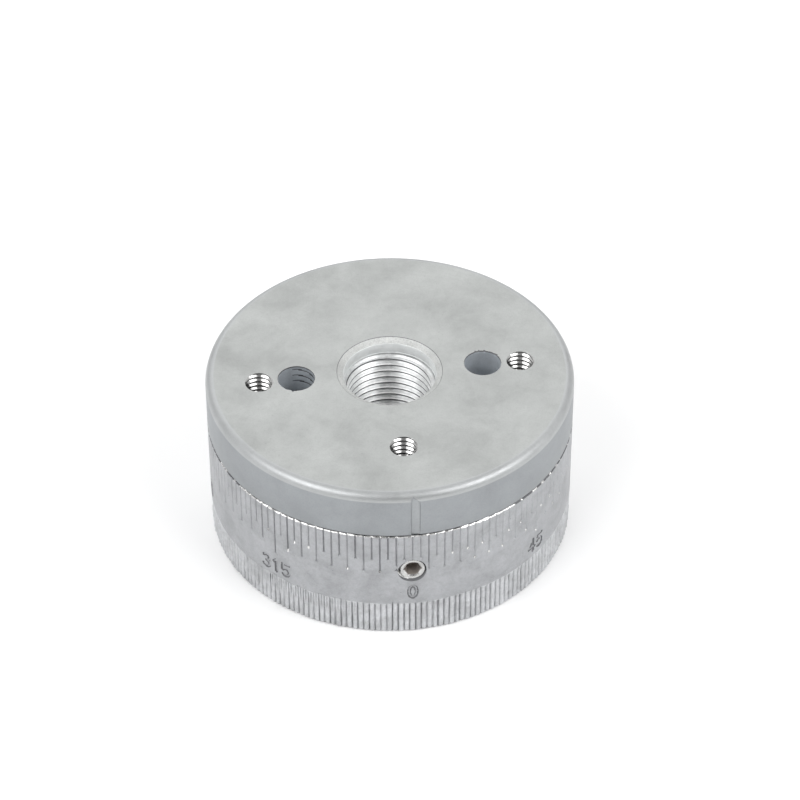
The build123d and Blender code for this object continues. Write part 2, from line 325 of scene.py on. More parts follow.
class Shell:
    """Collects grids and plates, welds them and makes one object."""

    def __init__(self):
        self.points, self.faces, self.slots, self.flats, self.count = [], [], [], [], 0

    def add(self, points, faces, slot, flat):
        """Adds points and faces, with one slot for all or one for each face."""
        faces = np.asarray(faces, dtype=np.int64)
        if faces.shape[1] == 3:
            faces = np.hstack([faces, faces[:, 2:3]])
        self.points.append(np.asarray(points, dtype=float).reshape(-1, 3))
        self.faces.append(faces + self.count)
        self.slots.append(np.full(len(faces), slot) if np.isscalar(slot) else np.asarray(slot))
        self.flats.append(np.full(len(faces), flat))
        self.count += len(self.points[-1])

    def grid(self, rows, slot, closed=True, keep=None):
        """Adds rows of points. Rows up a wall, in over a top and down a bore give outward faces."""
        rows = np.asarray(rows, dtype=float)
        n, m = rows.shape[:2]
        a = np.arange(n - 1)[:, None] * m
        c = np.arange(m if closed else m - 1)[None, :]
        d = (c + 1) % m
        quads = np.stack([a + c, a + d, a + m + d, a + m + c], axis=-1).reshape(-1, 4)
        if keep is not None:
            quads = quads[keep.reshape(-1)]
        self.add(rows, quads, slot, False)

    def fan(self, ring, tip, slot):
        """Closes a ring with a cone to one point; the ring goes anticlockwise as seen from outside."""
        m = len(ring)
        faces = [(i, (i + 1) % m, m) for i in range(m)]
        self.add(np.vstack([ring, [tip]]), faces, slot, False)

    def plate(self, z, outer, inner, holes, slot, up=True):
        """A flat ring between two loops, with round holes, at one height."""
        points, edges = [], []
        for loop in (outer, inner, *holes):
            start = len(points)
            points += [Vector((p[0], p[1])) for p in loop]
            edges += ring_edges(range(start, start + len(loop)))
        flat_points, faces = triangulate(points, edges)
        middle = flat_points[faces].mean(axis=1)
        keep = inside(middle, outer) & ~inside(middle, inner)
        for loop in holes:
            keep &= ~inside(middle, loop)
        faces = faces[keep]
        if not up:
            faces = faces[:, ::-1]
        self.add(np.column_stack([flat_points, np.full(len(flat_points), z)]), faces, slot, True)

    def make(self, name, materials, sharp=38):
        """Welds equal points, drops what has collapsed and makes the object."""
        points, faces = np.vstack(self.points), np.vstack(self.faces)
        slots, flats = np.concatenate(self.slots), np.concatenate(self.flats)
        rounded = np.round(points / WELD).astype(np.int64)
        _, first, same = np.unique(rounded, axis=0, return_index=True, return_inverse=True)
        points, faces = points[first], same.reshape(-1)[faces]
        polygons, kept = [], []
        for i, face in enumerate(faces.tolist()):
            loop = [v for k, v in enumerate(face) if v != face[k - 1]]
            if len(set(loop)) == len(loop) and len(loop) > 2:
                polygons.append(loop)
                kept.append(i)
        mesh = bpy.data.meshes.new(name)
        mesh.from_pydata((points * MM).tolist(), [], polygons)
        for material in materials:
            mesh.materials.append(material)
        mesh.polygons.foreach_set("material_index", slots[kept].astype(np.int32))
        mesh.polygons.foreach_set("use_smooth", np.ones(len(kept), dtype=bool))
        mesh.update()
        mesh.set_sharp_from_angle(angle=math.radians(sharp))
        edge_of_loop = np.empty(len(mesh.loops), dtype=np.int32)
        mesh.loops.foreach_get("edge_index", edge_of_loop)
        flat_loops = np.repeat(flats[kept].astype(bool), [len(p) for p in polygons])
        crisp = np.zeros(len(mesh.edges), dtype=bool)
        mesh.edges.foreach_get("use_edge_sharp", crisp)
        crisp[edge_of_loop[flat_loops]] = True
        mesh.edges.foreach_set("use_edge_sharp", crisp)
        mesh.update()
        piece = bpy.data.objects.new(name, mesh)
        bpy.context.scene.collection.objects.link(piece)
        return piece


def ring_edges(order):
    """Edges that join points in this order to a closed ring."""
    order = [int(i) for i in order]
    return list(zip(order, order[1:] + order[:1]))


def triangulate(points, edges):
    """Triangles over flat points that keep the edges. Returns the points and the triangles."""
    out, _, faces, *_ = delaunay_2d_cdt(points, edges, [], 0, 1e-9)
    return np.array([(p[0], p[1]) for p in out]), np.array(faces)


def inside(points, loop):
    """Which points lie inside a loop."""
    x, y = points[:, 0], points[:, 1]
    loop = np.asarray(loop)[:, :2]
    result = np.zeros(len(points), dtype=bool)
    for (x0, y0), (x1, y1) in zip(loop, np.roll(loop, -1, axis=0)):
        if y0 == y1:
            continue
        crosses = (y0 > y) != (y1 > y)
        result ^= crosses & (x < x0 + (y - y0) * (x1 - x0) / (y1 - y0))
    return result


def even_angles(count, start=0.0):
    """Angles that divide a turn evenly."""
    return start + np.arange(count) * 360.0 / count


def seamed_angles(count):
    """The same with 360 added at the end, as a helix needs it."""
    return np.arange(count + 1) * 360.0 / count


def bearing_of(angles, number=0):
    """Degrees from a number on the scale, anticlockwise as seen from above, between -180 and 180."""
    return (angles - FRONT - number + 180) % 360 - 180


def middles(levels):
    """Values halfway between neighbours."""
    levels = np.array(levels)
    return (levels[:-1] + levels[1:]) / 2


def around(angles, radii, heights, x=0.0, y=0.0):
    """Points about a vertical axis; radii and heights may be numbers or arrays that match the angles."""
    a = np.radians(angles)
    heights = np.broadcast_to(heights, a.shape)
    return np.stack([x + radii * np.cos(a), y + radii * np.sin(a), heights], axis=-1)


def across(turn, rho, out):
    """Points about the lock's axis: turned anticlockwise as seen from outside, out from the spindle."""
    a = np.radians(turn)
    return np.stack([rho * np.cos(a), np.broadcast_to(-out, a.shape), LOCK_Z + rho * np.sin(a)], axis=-1)


def closed(ring):
    """A ring of points with its first one again at the end."""
    return np.vstack([ring, ring[:1]])


def revolve(shell, angles, profile, slot):
    """A surface of revolution through (radius, height) pairs."""
    shell.grid([around(angles, r, z) for r, z in profile], slot)


def arc(cx, cz, radius, start, end, count):
    """Profile points on an arc, angles from the outward direction towards up."""
    turns = [math.radians(t) for t in np.linspace(start, end, count)]
    return [(cx + radius * math.cos(t), cz + radius * math.sin(t)) for t in turns]


# ---------------------------------------------------------------- threads

# A thread's form over one pitch: shares of the pitch, then shares of the depth, 0 at the minor radius
FORM = (
    [0.0, 0.10, 0.16, 0.41, 0.46, 0.56, 0.61, 0.84, 0.90, 1.0],
    [0.0, 0.0, 0.07, 0.93, 1.0, 1.0, 0.93, 0.07, 0.0, 0.0],
)
# The spindle thread has narrow crests and a faint tool step halfway up each flank that faces upwards
SPINDLE_FORM = (
    [0.0, 0.07, 0.23, 0.27, 0.46, 0.50, 0.57, 0.61, 0.91, 1.0],
    [0.0, 0.0, 0.42, 0.44, 0.97, 1.0, 1.0, 0.97, 0.0, 0.0],
)
Thread = namedtuple("Thread", "pitch minor major form")
SPINDLE_THREAD = Thread(1.0, 5.46, 5.98, SPINDLE_FORM)
TAP_THREAD = Thread(0.7, 1.66, 2.02, FORM)
LOCK_THREAD = Thread(0.7, 1.70, 2.0, FORM)
SCREW_THREAD = Thread(0.7, 1.58, 1.90, FORM)


def lead(angles, thread):
    """How far a right-hand helix has climbed at these angles."""
    return thread.pitch * np.radians(angles) / (2 * math.pi)


def thread_levels(angles, low, high, thread):
    """Heights along a helix, clipped to a span: a row per corner of the form, a column per angle."""
    climb = lead(angles, thread)
    first_turn = math.floor((low - climb.max()) / thread.pitch) - 1
    last_turn = math.ceil((high - climb.min()) / thread.pitch) + 1
    turns = np.arange(first_turn, last_turn + 1)
    levels = np.array([(t + share) * thread.pitch for t in turns for share in thread.form[0][1:]])
    levels = np.unique(np.round(levels, 6))
    heights = np.clip(levels[:, None] + climb[None, :], low, high)
    within = (heights.max(axis=1) > low) & (heights.min(axis=1) < high)
    first, last = np.flatnonzero(within)[[0, -1]]
    return heights[max(first - 1, 0):last + 2]


def thread_radius(angles, heights, thread):
    """Radius of a right-hand thread."""
    phase = ((heights - lead(angles, thread)) / thread.pitch) % 1.0
    return thread.minor + (thread.major - thread.minor) * np.interp(phase, *thread.form)


def thread_slots(angles, heights, thread, flank_slot, crest_slot):
    """Slots for the cells of a thread's grid, with another one on its crests."""
    phase = (heights - lead(angles, thread)) / thread.pitch
    middle = ((phase[:-1] + phase[1:]) / 2 % 1.0)[:, :-1]
    shares = thread.form[0]
    return np.where((middle < shares[1]) | (middle > shares[-2]), crest_slot, flank_slot).reshape(-1)


def tapped_wall(columns, low, high, thread, cone_top=0.0, cone_bottom=0.0):
    """Rows of a tapped hole from its top down: angles, radii, heights; cones widen it at the ends."""
    angles = seamed_angles(columns)
    heights = thread_levels(angles, low, high, thread)
    radii = thread_radius(angles, heights, thread)
    depth = thread.major - thread.minor
    if cone_top:
        radii = np.maximum(radii, thread.major - (high - heights) * depth / cone_top)
    if cone_bottom:
        radii = np.maximum(radii, thread.major - (heights - low) * depth / cone_bottom)
    return angles, radii[::-1], heights[::-1]


def tapped_hole(shell, x, y, low, high, slot, crest, columns=44, blind=0.0):
    """An M4 tapped hole with a vertical axis. Returns its upper and lower edge loops."""
    angles, radii, heights = tapped_wall(columns, low, high, TAP_THREAD)
    rows = [around(angles, r, z, x, y) for r, z in zip(radii, heights)]
    shell.grid(rows, thread_slots(angles, heights, TAP_THREAD, slot, crest), closed=False)
    if blind:
        shell.fan(rows[-1][:-1], (x, y, low - blind), slot)
    return rows[0][:-1], rows[-1][:-1]


# ---------------------------------------------------------------- the table

def table_rim(shell):
    """Skirt and outer wall with the index line, up to the top face. Returns the angles and the upper loop."""
    fine = FRONT + INDEX_READING + np.arange(-1.8, 1.8, 0.06)
    angles = np.union1d(np.arange(-180, 180, 0.75), fine)
    chamfer, pad_groove, pad_half = 0.15, 18.2, 2
    skirt = [
        (SKIRT_IN, UNDERSIDE), (SKIRT_IN, SKIRT_BOTTOM + chamfer), (SKIRT_IN + chamfer, SKIRT_BOTTOM),
        (SKIRT_OUT - chamfer, SKIRT_BOTTOM), (SKIRT_OUT, SKIRT_BOTTOM + chamfer),
        (SKIRT_OUT, LOCK_Z - pad_half), (pad_groove, LOCK_Z - pad_half),
        (pad_groove, LOCK_Z + pad_half), (SKIRT_OUT, LOCK_Z + pad_half),
        (SKIRT_OUT, UNDERSIDE), (RADIUS - 0.2, UNDERSIDE),
    ]
    revolve(shell, angles, skirt, SIDE)
    fillet = 1.1
    lower_edge = [(-0.2, 0.0), (-0.06, 0.06), (0.0, 0.2), (0.0, 2.5)]
    wall = [(RADIUS + out, UNDERSIDE + up) for out, up in lower_edge]
    wall += [(RADIUS, z) for z in HEIGHT - np.array([fillet + 0.8, 1.5, 1.4, 1.3, 1.2])]
    wall += arc(RADIUS - fillet, HEIGHT - fillet, fillet, 0, 90, 17)

    # the index line, deeper at its left edge, with a slanting upper end
    half, run_out = 0.6, 0.12
    along = RADIUS * np.radians(angles - FRONT - INDEX_READING)
    groove = np.interp(along, [-half, -0.52, 0.52, half], [0.0, 0.26, 0.14, 0.0], left=0.0, right=0.0)
    groove_top = HEIGHT + np.interp(along, [-half, -0.25, half], [-0.8, -0.4, -1.3])
    cut = np.array([groove * np.clip((groove_top - z) / run_out, 0, 1) for _, z in wall])
    rows = [around(angles, r - depth, z) for (r, z), depth in zip(wall, cut)]
    deep = np.minimum(cut, np.roll(cut, -1, axis=1))
    deep = np.minimum(deep[:-1], deep[1:]) > 0.1
    slots = np.full(deep.shape, SIDE)
    # painted shade along the table's lower edge, at the seam with the base
    slots[:2] = PAINTED_SHADE
    slots[[z > HEIGHT - fillet - 0.01 for _, z in wall[:-1]]] = RIM
    slots[deep] = INDEX
    shell.grid(rows, slots.reshape(-1))
    return angles, rows[-1]


def spindle_bore(shell, angles):
    """The spindle thread under its relief and chamfer, and the hub around it. Returns the mouth's loop."""
    relief, relief_low, mouth, foot = 6.05, HEIGHT - 2.0, 6.9, 6.4
    upper = [(mouth, HEIGHT), (mouth - 0.06, HEIGHT - 0.05), (relief + 0.04, HEIGHT - 0.52),
             (relief, HEIGHT - 0.58), (relief, relief_low)]
    # a thin band of painted shade round the bore's mouth
    revolve(shell, angles, upper[:2], PAINTED_SHADE)
    revolve(shell, angles, upper[1:3], BEVEL)
    revolve(shell, angles, upper[2:], RELIEVED)
    turned, radii, heights = tapped_wall(len(angles), HUB_BOTTOM, relief_low, SPINDLE_THREAD, 0.9, 0.7)
    rows = [around(turned, r, z) for r, z in zip(radii, heights)]
    shell.grid([around(turned, relief, relief_low), rows[0]], RELIEVED, closed=False)
    # the thread's crests get painted shade, a dark line at each turn
    shell.grid(rows, thread_slots(turned, heights, SPINDLE_THREAD, THREAD, PAINTED_SHADE), closed=False)
    shell.grid([rows[-1], around(turned, foot, HUB_BOTTOM)], THREAD, closed=False)
    ring_radius, ring_low, ring_high = 7.15, 0.85, 1.9  # the groove for the retaining ring
    hub = [(foot, HUB_BOTTOM), (HUB_RADIUS - 0.2, HUB_BOTTOM), (HUB_RADIUS, HUB_BOTTOM + 0.2),
           (HUB_RADIUS, ring_low), (ring_radius, ring_low), (ring_radius, ring_high), (HUB_RADIUS, ring_high),
           (HUB_RADIUS, UNDERSIDE)]
    revolve(shell, angles, hub, SIDE)
    return around(angles, mouth, HEIGHT)


def plain_hole(shell, x, torn_from, torn_to, marks):
    """A drilled hole with a slightly torn upper edge and, where marks is set, spiral drill marks."""
    angles = even_angles(96)
    turned = (angles + 180) % 360 - 180
    torn = ((turned > torn_from) & (turned < torn_to)) * random.uniform(-0.06, 0.26, len(angles))
    edge = [HEIGHT, HEIGHT - 0.05, HEIGHT - 0.16]
    torn_shares = (1.0, 0.6, 0.2)
    levels = np.concatenate([edge, np.arange(HEIGHT - 0.35, UNDERSIDE + 0.2, -0.12), [UNDERSIDE]])
    pitch, marked_depth, line_half = 0.95, 3.2, 0.14
    middle, fade = 40, 50.0  # the marks are full within 25 degrees of their middle and gone at 75
    rows, slots = [], []
    for i, z in enumerate(levels):
        radius = HOLE_RADIUS + torn * torn_shares[i] if i < len(edge) else np.full(len(angles), HOLE_RADIUS)
        if i == 0:
            radius = radius + 0.03
        phase = ((z - angles / 360.0 * pitch) / pitch) % 1.0
        strength = np.clip(1.5 - abs(turned - middle) / fade, 0, 1)
        strength = strength * (HEIGHT - z < marked_depth) * (i >= len(edge)) * marks
        line = strength * np.clip(1 - abs(phase - 0.5) / line_half, 0, 1)
        rows.append(around(angles, radius + 0.05 * line, z, x))
        # painted shade in the drill marks and on the hole's top two rows
        slots.append(np.where((line > 0.35) | (i < 2), PAINTED_SHADE, DRILLED))
    shell.grid(rows, np.array(slots[:-1]).reshape(-1))
    return rows[0], rows[-1]


def rotary_table():
    """Disc with rounded rim and index line, five small holes, the spindle bore, and skirt and hub below."""
    shell = Shell()
    rim_angles, rim_loop = table_rim(shell)
    bore_angles = even_angles(128)
    mouth_loop = spindle_bore(shell, bore_angles)
    top_loops, low_loops = [], []
    for x, y in WORK_TAPS:
        # the taps' crests get painted shade
        edge, _ = tapped_hole(shell, x, y, HEIGHT - 6.0, HEIGHT, TAPPED, PAINTED_SHADE, blind=0.5)
        top_loops.append(edge)
    for x, torn_from, torn_to in ((-HOLE_X, -135, -95), (HOLE_X, 20, 110)):
        edge, low = plain_hole(shell, x, torn_from, torn_to, marks=x < 0)
        top_loops.append(edge)
        low_loops.append(low)
    shell.plate(HEIGHT, rim_loop, mouth_loop, top_loops, TOP)
    skirt_loop, hub_loop = around(rim_angles, SKIRT_IN, UNDERSIDE), around(bore_angles, HUB_RADIUS, UNDERSIDE)
    shell.plate(UNDERSIDE, skirt_loop, hub_loop, low_loops, SIDE, up=False)
    piece = shell.make("table_casting", TABLE_METALS)
    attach(piece, "table")
    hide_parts("rotary_table")


# ---------------------------------------------------------------- the base's numbers

# Strokes in a box 1 wide and 2 high, centred on 0: lines of points, and arcs as centre, radii, two angles
DIGITS = {
    "0": [("arc", (0, 0), (0.46, 1.0), 0, 360)],
    "1": [((-0.3, 0.62), (0.08, 1.0), (0.08, -1.0))],
    "2": [("arc", (0, 0.5), (0.5, 0.5), 170, -25), ((0.46, 0.28), (-0.5, -1.0), (0.52, -1.0))],
    "3": [("arc", (-0.02, 0.5), (0.47, 0.5), 150, -90), ("arc", (-0.02, -0.5), (0.52, 0.5), 90, -150)],
    "4": [((0.22, -1.0), (0.22, 1.0), (-0.55, -0.4), (0.55, -0.4))],
    "5": [((0.46, 1.0), (-0.4, 1.0), (-0.47, 0.12)), ("arc", (-0.02, -0.38), (0.52, 0.62), 142, -140)],
    "7": [((-0.5, 1.0), (0.5, 1.0), (-0.12, -1.0))],
    "8": [("arc", (0, 0.52), (0.43, 0.48), 0, 360), ("arc", (0, -0.48), (0.5, 0.52), 0, 360)],
    "9": [("arc", (0, 0.42), (0.5, 0.58), 0, 360), ("arc", (-0.1, 0.1), (0.6, 1.1), 10, -100)],
}
NUMBERS = range(0, 360, 45)
NUMBER_Z, DIGIT_HEIGHT, DIGIT_WIDTH, DIGIT_STEP = 7.2, 2.0, 1.06, 1.6
STROKE, STROKE_DEPTH, STROKE_SLOPE = 0.34, 0.17, 0.12


def stroke_points(stroke):
    """A stroke as a line of points in its unit box."""
    if stroke[0] != "arc":
        return np.array(stroke, dtype=float)
    _, (cx, cy), (rx, ry), start, end = stroke
    t = np.radians(np.linspace(start, end, 25))
    return np.column_stack([cx + rx * np.cos(t), cy + ry * np.sin(t)])


def number_depth(along, z, number):
    """Depth of an engraved number about its own middle, for points of the wall."""
    text = str(number)
    nearest = np.full(along.shape, 9.0)
    for i, digit in enumerate(text):
        middle = (i - (len(text) - 1) / 2) * DIGIT_STEP
        for stroke in DIGITS[digit]:
            points = stroke_points(stroke) * (DIGIT_WIDTH, DIGIT_HEIGHT / 2) + (middle, NUMBER_Z)
            for (x0, y0), (x1, y1) in zip(points[:-1], points[1:]):
                dx, dy = x1 - x0, y1 - y0
                square = max(dx ** 2 + dy ** 2, 1e-9)
                t = np.clip(((along - x0) * dx + (z - y0) * dy) / square, 0, 1)
                nearest = np.minimum(nearest, np.hypot(along - x0 - t * dx, z - y0 - t * dy))
    return STROKE_DEPTH * np.clip((STROKE / 2 + STROKE_SLOPE / 2 - nearest) / STROKE_SLOPE, 0, 1)


def number_wall(angles, z):
    """Radius of the band with the numbers."""
    depth = np.zeros(angles.shape)
    for number in NUMBERS:
        bearing = bearing_of(angles, number)
        near = np.abs(bearing) < 8
        if near.any():
            depth[near] = number_depth(RADIUS * np.radians(bearing[near]), z[near], number)
    return RADIUS - depth


# ---------------------------------------------------------------- the base's scale

MARKS, MARK_STEP = 144, 2.5
MARKS_PER_NUMBER = 18
LONG_END, MIDDLE_END, SHORT_END = 9.25, 10.8, 12.88  # heights of the marks' lower ends
MARK_DEPTH, MARK_HALF = 0.16, 0.14
PUNCH_DEPTH, PUNCH_RADIUS, PUNCH_ABOVE_END = 0.24, 0.21, 0.19
EDGE_DEPTH, EDGE_DROP = 0.2, 0.17  # the rounding of the upper edge


def mark_end(index):
    """Lower end of the mark with this number, counted from the front."""
    if index == 0:
        return LOCK_Z
    if index % MARKS_PER_NUMBER == 0:
        return LONG_END
    return MIDDLE_END if index % 2 == 0 else SHORT_END


MARK_ENDS = np.array([mark_end(i) for i in range(MARKS)]) + random.normal(0, 0.05, MARKS)
MARK_SHIFTS = random.normal(0, 0.012, MARKS)
# the marks are deeper on the left and fainter on the right
MARK_SIDES = 0.85 - 0.45 * np.sin(np.radians(np.arange(MARKS) * MARK_STEP))
MARK_WEIGHTS = random.uniform(0.85, 1.1, MARKS) * MARK_SIDES
MARK_DOTS = random.uniform(0, 1, MARKS)


def nearest_mark(angles):
    """The number of the nearest mark, and the distance from it along the wall."""
    steps = (angles - FRONT) / MARK_STEP
    index = np.round(steps).astype(int)
    mark = index % MARKS
    return mark, (steps - index) * MARK_STEP * math.pi / 180 * RADIUS - MARK_SHIFTS[mark]


def scale_wall(angles, z):
    """Radius of the wall with its marks, their punched ends and the rounded upper edge."""
    mark, along = nearest_mark(angles)
    end = MARK_ENDS[mark]
    reach = np.hypot(along, np.maximum(0, end + MARK_HALF - z))
    depth = MARK_DEPTH * MARK_WEIGHTS[mark] * np.clip(1 - reach / MARK_HALF, 0, 1)
    punch = np.hypot(along, z - end - PUNCH_ABOVE_END)
    depth = np.maximum(depth, PUNCH_DEPTH * np.clip(1 - punch / PUNCH_RADIUS, 0, 1))
    edge = EDGE_DEPTH * np.clip((z - BASE_TOP + EDGE_DROP) / EDGE_DROP, 0, 1) ** 1.6
    return np.minimum(RADIUS - edge, RADIUS - depth)


def burnished(angles, z):
    """Where the lower end of a mark gets bright cut metal, partly a real burnish and partly a painted
    highlight, more often towards the right.
    """
    mark, along = nearest_mark(angles)
    near = np.hypot(along, z - MARK_ENDS[mark] - 0.15) < 0.17
    return near & (MARK_DOTS[mark] < 0.45 + 0.4 * np.cos(np.radians(angles)))


def mark_columns(every):
    """Column angles: fine at each mark counted by every, coarse between."""
    fine = np.degrees(np.array([-0.22, -0.14, -0.07, 0.0, 0.07, 0.14, 0.22]) / RADIUS)
    marks = FRONT + MARK_STEP * np.arange(0, MARKS, every)
    all_marks = even_angles(MARKS, FRONT)
    coarse = [all_marks + MARK_STEP / 2, all_marks[np.arange(MARKS) % every > 0]]
    return np.unique(np.round(np.concatenate([(marks[:, None] + fine).reshape(-1), *coarse]), 6))


# ---------------------------------------------------------------- the base's knurl

RIBS = 200
RIB_DEPTH, RIB_RUN_OUT = 0.38, 0.45
FOOT_RADIUS = 0.35
ROUGH_STEP = 0.37
RIB_WEIGHTS = random.uniform(0.72, 1.08, RIBS)
RIB_TOPS = 5.25 + random.normal(0, 0.10, RIBS)
RIB_SHIFTS = random.normal(0, 0.05, RIBS)
RIB_ROUGH = random.uniform(0, 0.11, (RIBS, 16))


def knurl_wall(angles, z):
    """Radius of the knurl: rounded ribs that fade out upwards, with one stretch rolled over twice."""
    steps = (angles - FRONT) / 360.0 * RIBS + 0.5
    rib = np.floor(steps).astype(int) % RIBS
    phase = steps - np.floor(steps)
    bearing = bearing_of(angles)
    doubled = np.clip(1 - np.abs(bearing + 38) / 24, 0, 1) ** 0.5
    tall = np.clip(1 - np.abs(bearing + 45) / 6, 0, 1)
    across_rib = 2 * np.clip(phase + RIB_SHIFTS[rib] * np.sin(2 * math.pi * phase), 0, 1) - 1
    gap = 1 - np.sqrt(1 - (0.985 * across_rib) ** 2)
    second = np.cos(math.pi * (phase + 0.48)) ** 8
    high = np.clip((z - 2.0) / 1.6, 0, 1)
    gap = np.maximum(gap * (1 - 0.3 * doubled * high), 0.75 * second * doubled * high)
    fade = np.clip((RIB_TOPS[rib] + 0.1 * doubled + 0.35 * tall - z) / RIB_RUN_OUT, 0, 1)
    fade = fade * fade * (3 - 2 * fade)
    foot = FOOT_RADIUS - np.sqrt(np.maximum(0, FOOT_RADIUS ** 2 - np.maximum(0, FOOT_RADIUS - z) ** 2))
    place = np.clip(z / ROUGH_STEP, 0, 14.99)
    row = place.astype(int)
    rough = RIB_ROUGH[rib, row] * (1 - place + row) + RIB_ROUGH[rib, row + 1] * (place - row)
    return RADIUS - (RIB_DEPTH * RIB_WEIGHTS[rib] * gap + rough) * fade - foot


# ---------------------------------------------------------------- the base

KNURL_TOP, SCALE_BOTTOM, EDGE_BOTTOM = 5.8, 8.7, 16.83
KNURL_LEVELS = [0, 0.05, 0.13, 0.24, 0.36, *np.arange(0.9, 4.5, 0.55), 4.72, 4.9, 5.05, 5.2, 5.35, 5.55]
KNURL_LEVELS.append(KNURL_TOP)
EDGE_LEVELS = [EDGE_BOTTOM, 16.88, 16.94, 17.0]
LEDGE_RADIUS, LEDGE_Z = 22.5, 16.3

# The wall about the lock hole, in degrees to each side and in height, and the hole's columns
PATCH_HALF, PATCH_LOW, PATCH_HIGH = 6.25, 8.9, 13.3
LOCK_COLUMNS = 72
LOCK_MOUTH, LOCK_INNER_MOUTH = 1.85, 2.03

# Each zone of the scale has columns only for the marks that reach down into it
SCALE_ZONES = [
    (mark_columns(MARKS_PER_NUMBER),
     [SCALE_BOTTOM, PATCH_LOW, 9.18, 9.24, 9.3, 9.37, 9.44, 9.52, 9.6, 9.7, 10.2, 10.6]),
    (mark_columns(2),
     [10.6, 10.7, 10.77, 10.84, 10.92, 11.0, 11.08, 11.18, 11.3, 11.9, 12.4, 12.7]),
    (mark_columns(1),
     [12.7, 12.78, 12.85, 12.92, 13.0, 13.08, 13.16, PATCH_HIGH, 13.6, 14.5, 15.5, LEDGE_Z, 16.65,
      EDGE_BOTTOM]),
]


def wall_rows(angles, levels, radius):
    """Rows of the outer wall from the bottom up."""
    a, z = np.meshgrid(angles, np.array(levels, dtype=float))
    return around(a, radius(a, z), z)


def patch_points(angle_sets, level_sets):
    """The wall's own points in the patch about the lock hole, as (bearing, height)."""
    found = set()
    for angles, levels in zip(angle_sets, level_sets):
        heights = [round(float(z), 6) for z in levels if PATCH_LOW - 1e-6 < z < PATCH_HIGH + 1e-6]
        for bearing in bearing_of(np.asarray(angles)):
            if abs(bearing) < PATCH_HALF + 1e-4:
                found |= {(round(float(bearing), 6), z) for z in heights}
    return np.array(sorted(found))


def wall_patch(angle_sets, level_sets, radius, nominal, mouth):
    """A patch of wall with the lock hole's mouth in it. Returns its points, its triangles and the mouth."""
    found = patch_points(angle_sets, level_sets)
    bearings, heights = found.T
    flat = np.column_stack([nominal * np.radians(bearings), heights])
    edge = np.abs(np.abs(bearings) - PATCH_HALF) < 1e-4
    edge |= (np.abs(heights - PATCH_LOW) < 1e-5) | (np.abs(heights - PATCH_HIGH) < 1e-5)
    clear = np.hypot(flat[:, 0], heights - LOCK_Z) > np.max(mouth) + 0.06
    flat, edge = flat[clear | edge], edge[clear | edge]
    border = np.flatnonzero(edge)
    middle_z = (PATCH_LOW + PATCH_HIGH) / 2
    order = border[np.argsort(np.arctan2(flat[border, 1] - middle_z, flat[border, 0]))]
    turn = np.radians(even_angles(LOCK_COLUMNS))
    loops = []
    for extra in (0.0, 0.04, 0.09, 0.15):
        rho = mouth + extra
        along = nominal * np.arcsin(rho * np.cos(turn) / nominal)
        loops.append(np.column_stack([along, LOCK_Z + rho * np.sin(turn)]))
    points = [Vector(p) for p in np.vstack([flat, *loops])]
    edges = ring_edges(order) + ring_edges(range(len(flat), len(flat) + LOCK_COLUMNS))
    out, faces = triangulate(points, edges)
    middle = out[faces].mean(axis=1)
    faces = faces[inside(middle, flat[order]) & ~inside(middle, loops[0])]

    def on_wall(layout):
        angles = FRONT + np.degrees(layout[:, 0] / nominal)
        return around(angles, radius(angles, layout[:, 1]), layout[:, 1])

    return on_wall(out), faces, on_wall(loops[0])


def cell_angles(angles):
    """Middles of the cells between columns that go right round."""
    return middles(np.append(angles, angles[0] + 360))


def outside_patch(angles, levels):
    """Which cells of a wall's grid lie outside the patch about the lock hole."""
    in_angle = np.abs(bearing_of(cell_angles(angles))) < PATCH_HALF
    in_height = (middles(levels) > PATCH_LOW) & (middles(levels) < PATCH_HIGH)
    return ~(in_height[:, None] & in_angle[None, :])


def cell_depth(depth):
    """Mean depth of each cell of a closed grid."""
    wide = (depth + np.roll(depth, -1, axis=1)) / 2
    return (wide[:-1] + wide[1:]) / 2


def knurl_band(shell):
    """The knurl. Returns the loop at its foot."""
    rib_columns = np.array([0.0, 0.07, 0.18, 0.34, 0.46, 0.56, 0.68, 0.84, 0.94])
    angles = FRONT + ((np.arange(RIBS)[:, None] + rib_columns).reshape(-1) - 0.5) * 360.0 / RIBS
    rows = wall_rows(angles, KNURL_LEVELS, knurl_wall)
    ribbed_to = 5.15
    shell.grid(rows, np.repeat([RIBBED if z < ribbed_to else BODY for z in KNURL_LEVELS[:-1]], len(angles)))
    return rows[0]


def number_band(shell):
    """The band with the numbers, with fine columns at each of them and painted shade on the slopes of the
    strokes.
    """
    fine_step, margin = 0.085, 0.2
    fine = []
    for number in NUMBERS:
        half = np.degrees((len(str(number)) * DIGIT_STEP / 2 + margin) / RADIUS)
        count = int(2 * half * RADIUS * math.pi / 180 / fine_step)
        fine.append(FRONT + number + np.linspace(-half, half, count))
    fine = np.concatenate(fine)
    coarse = even_angles(MARKS, FRONT)
    coarse = coarse[[np.abs(fine - a).min() > 0.3 and np.abs(fine - a + 360).min() > 0.3 for a in coarse]]
    angles = np.sort(np.concatenate([fine, coarse]))
    levels = np.concatenate([[KNURL_TOP], np.linspace(5.95, 8.45, 33), [SCALE_BOTTOM]])
    rows = wall_rows(angles, levels, number_wall)
    depth = cell_depth(RADIUS - np.hypot(rows[..., 0], rows[..., 1]))
    # the slopes of the strokes get painted shade
    shell.grid(rows, np.where((depth > 0.02) & (depth < 0.14), BASE_PAINTED_SHADE, BODY).reshape(-1))


